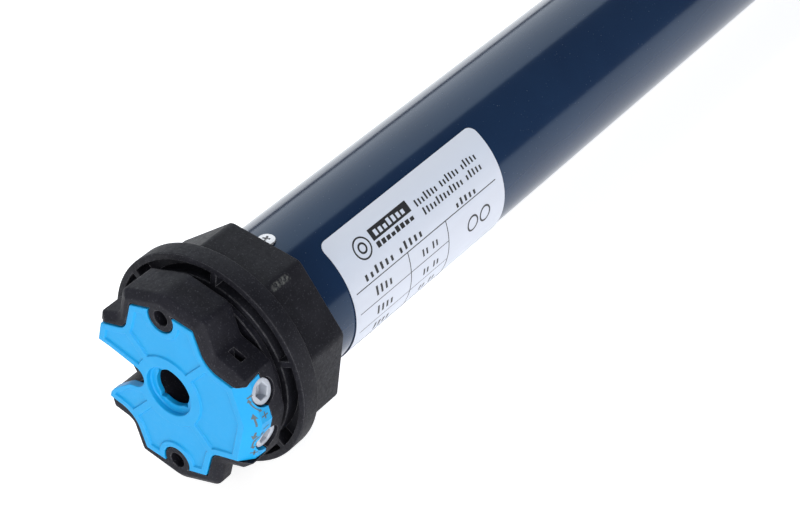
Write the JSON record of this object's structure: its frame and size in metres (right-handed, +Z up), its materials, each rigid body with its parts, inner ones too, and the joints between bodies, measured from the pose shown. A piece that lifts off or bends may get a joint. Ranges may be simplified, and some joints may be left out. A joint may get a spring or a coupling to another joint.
{
  "type": "tubular shutter motor",
  "caption": "Tubular motor for roller shutters: octagonal crown, blue head plate with limit adjusters, painted tube, planetary gearbox and octagonal drive wheel.",
  "frame": {"origin": "on the motor's axis, midway between the head's front face and the far end of the drive wheel's retaining screw", "axes": "+Y along the motor from the head to the drive wheel, +Z up through the two bracket screw holes, +X towards the limit adjusters; the head's face looks along -Y"},
  "size_m": [0.0652, 0.4776, 0.0652],
  "materials": {
    "black_nylon": "fine-grained satin",
    "blue_plastic": "satin",
    "white_plastic": "smooth",
    "navy_paint": "gloss",
    "silver_foil": "satin film",
    "bright_steel": "zinc plated",
    "lamination_iron": "dull",
    "cast_alloy": "as cast",
    "copper_winding": "varnished copper",
    "brass": "plain",
    "cream_moulding": "moulded",
    "red_moulding": "moulded",
    "friction_lining": "rough"
  },
  "bodies": {
    "housing": {"motor_tube": "navy_paint", "rating_label": "silver_foil", "head_body": "black_nylon", "face_plate": "blue_plastic", "head_screw_top": "bright_steel", "head_screw_bottom": "bright_steel", "limit_frame": "cream_moulding", "cam_axle": "bright_steel", "switch_up": "cream_moulding", "switch_down": "cream_moulding", "capacitor": "cast_alloy", "end_shield_front": "cast_alloy", "end_shield_rear": "cast_alloy", "bearing_front": "bright_steel", "bearing_rear": "bright_steel", "stator_core": "lamination_iron", "stator_winding": "copper_winding", "brake_housing": "cast_alloy", "brake_spring": "bright_steel", "gearbox_front_plate": "cast_alloy", "ring_gear": "cream_moulding", "output_cover": "cast_alloy", "output_bush": "brass", "gearbox_screw_top": "bright_steel", "gearbox_screw_bottom": "bright_steel"},
    "crown": {"crown": "black_nylon"},
    "adjuster_up": {"limit_adjuster_up": "white_plastic"},
    "adjuster_down": {"limit_adjuster_down": "white_plastic"},
    "limit_shaft": {"limit_shaft": "brass"},
    "cam_up": {"cam_wheel_up": "red_moulding"},
    "cam_down": {"cam_wheel_down": "red_moulding"},
    "plunger_up": {"switch_plunger_up": "red_moulding"},
    "plunger_down": {"switch_plunger_down": "red_moulding"},
    "rotor": {"rotor_core": "lamination_iron", "rotor_shaft": "bright_steel", "brake_disc": "friction_lining"},
    "brake_armature": {"brake_armature": "lamination_iron"},
    "carrier_1": {"carrier_1": "bright_steel"},
    "carrier_2": {"carrier_2": "bright_steel"},
    "output": {"output_shaft": "bright_steel", "drive_wheel": "black_nylon", "wheel_washer": "bright_steel", "wheel_screw": "bright_steel"},
    "planet_1_1": {"planet_1_1": "bright_steel"},
    "planet_1_2": {"planet_1_2": "bright_steel"},
    "planet_1_3": {"planet_1_3": "bright_steel"},
    "planet_2_1": {"planet_2_1": "bright_steel"},
    "planet_2_2": {"planet_2_2": "bright_steel"},
    "planet_2_3": {"planet_2_3": "bright_steel"},
    "planet_3_1": {"planet_3_1": "bright_steel"},
    "planet_3_2": {"planet_3_2": "bright_steel"},
    "planet_3_3": {"planet_3_3": "bright_steel"}
  },
  "joints": [
    {"name": "rotor_spin", "type": "hinge", "parent": "housing", "child": "rotor", "pos_m": [0, 0.0242, 0], "axis": [0, 1, 0], "continuous": true},
    {"name": "carrier_1_spin", "type": "hinge", "parent": "housing", "child": "carrier_1", "pos_m": [0, 0.1343, 0], "axis": [0, 1, 0], "continuous": true},
    {"name": "carrier_2_spin", "type": "hinge", "parent": "housing", "child": "carrier_2", "pos_m": [0, 0.1523, 0], "axis": [0, 1, 0], "continuous": true},
    {"name": "output_spin", "type": "hinge", "parent": "housing", "child": "output", "pos_m": [0, 0.2252, 0], "axis": [0, 1, 0], "continuous": true},
    {"name": "planet_1_1_spin", "type": "hinge", "parent": "carrier_1", "child": "planet_1_1", "pos_m": [0, 0.1282, 0.0108], "axis": [0, 1, 0], "continuous": true},
    {"name": "planet_1_2_spin", "type": "hinge", "parent": "carrier_1", "child": "planet_1_2", "pos_m": [-0.00935, 0.1282, -0.0054], "axis": [0, 1, 0], "continuous": true},
    {"name": "planet_1_3_spin", "type": "hinge", "parent": "carrier_1", "child": "planet_1_3", "pos_m": [0.00935, 0.1282, -0.0054], "axis": [0, 1, 0], "continuous": true},
    {"name": "planet_2_1_spin", "type": "hinge", "parent": "carrier_2", "child": "planet_2_1", "pos_m": [0, 0.1462, 0.0108], "axis": [0, 1, 0], "continuous": true},
    {"name": "planet_2_2_spin", "type": "hinge", "parent": "carrier_2", "child": "planet_2_2", "pos_m": [-0.00935, 0.1462, -0.0054], "axis": [0, 1, 0], "continuous": true},
    {"name": "planet_2_3_spin", "type": "hinge", "parent": "carrier_2", "child": "planet_2_3", "pos_m": [0.00935, 0.1462, -0.0054], "axis": [0, 1, 0], "continuous": true},
    {"name": "planet_3_1_spin", "type": "hinge", "parent": "output", "child": "planet_3_1", "pos_m": [0, 0.1657, 0.0108], "axis": [0, 1, 0], "continuous": true},
    {"name": "planet_3_2_spin", "type": "hinge", "parent": "output", "child": "planet_3_2", "pos_m": [-0.00935, 0.1657, -0.0054], "axis": [0, 1, 0], "continuous": true},
    {"name": "planet_3_3_spin", "type": "hinge", "parent": "output", "child": "planet_3_3", "pos_m": [0.00935, 0.1657, -0.0054], "axis": [0, 1, 0], "continuous": true},
    {"name": "crown_spin", "type": "hinge", "parent": "housing", "child": "crown", "pos_m": [0, -0.2114, 0], "axis": [0, 1, 0], "continuous": true},
    {"name": "limit_shaft_spin", "type": "hinge", "parent": "housing", "child": "limit_shaft", "pos_m": [0, -0.1733, -0.017], "axis": [0, 1, 0], "continuous": true},
    {"name": "cam_up_spin", "type": "hinge", "parent": "housing", "child": "cam_up", "pos_m": [0, -0.1638, -0.0018], "axis": [0, 1, 0], "continuous": true},
    {"name": "cam_down_spin", "type": "hinge", "parent": "housing", "child": "cam_down", "pos_m": [0, -0.1498, -0.0018], "axis": [0, 1, 0], "continuous": true},
    {"name": "adjuster_up_turn", "type": "hinge", "parent": "housing", "child": "adjuster_up", "pos_m": [0.02656, -0.2318, 0.00751], "axis": [0.9622, 0, 0.2723], "continuous": true},
    {"name": "adjuster_down_turn", "type": "hinge", "parent": "housing", "child": "adjuster_down", "pos_m": [0.02656, -0.2318, -0.00751], "axis": [0.9622, 0, -0.2723], "continuous": true},
    {"name": "plunger_up_press", "type": "slide", "parent": "housing", "child": "plunger_up", "axis": [0, 0, 1], "range_m": [0, 0.0006], "stiffness_N_per_m": 300, "springref_m": -0.0004},
    {"name": "plunger_down_press", "type": "slide", "parent": "housing", "child": "plunger_down", "axis": [0, 0, 1], "range_m": [0, 0.0006], "stiffness_N_per_m": 300, "springref_m": -0.0004},
    {"name": "brake_release", "type": "slide", "parent": "housing", "child": "brake_armature", "axis": [0, 1, 0], "range_m": [0, 0.0008], "stiffness_N_per_m": 600, "springref_m": -0.0015, "deforming": ["brake_spring"]}
  ],
  "couplings": [
    {"joint": "carrier_1_spin", "follows": "rotor_spin", "ratio": 0.22222},
    {"joint": "carrier_2_spin", "follows": "rotor_spin", "ratio": 0.049383},
    {"joint": "output_spin", "follows": "rotor_spin", "ratio": 0.010974},
    {"joint": "planet_1_1_spin", "follows": "rotor_spin", "ratio": -0.62222},
    {"joint": "planet_1_2_spin", "follows": "rotor_spin", "ratio": -0.62222},
    {"joint": "planet_1_3_spin", "follows": "rotor_spin", "ratio": -0.62222},
    {"joint": "planet_2_1_spin", "follows": "rotor_spin", "ratio": -0.13827},
    {"joint": "planet_2_2_spin", "follows": "rotor_spin", "ratio": -0.13827},
    {"joint": "planet_2_3_spin", "follows": "rotor_spin", "ratio": -0.13827},
    {"joint": "planet_3_1_spin", "follows": "rotor_spin", "ratio": -0.030727},
    {"joint": "planet_3_2_spin", "follows": "rotor_spin", "ratio": -0.030727},
    {"joint": "planet_3_3_spin", "follows": "rotor_spin", "ratio": -0.030727},
    {"joint": "limit_shaft_spin", "follows": "crown_spin", "ratio": 3},
    {"joint": "cam_up_spin", "follows": "crown_spin", "ratio": -0.8},
    {"joint": "cam_down_spin", "follows": "crown_spin", "ratio": -0.8}
  ]
}
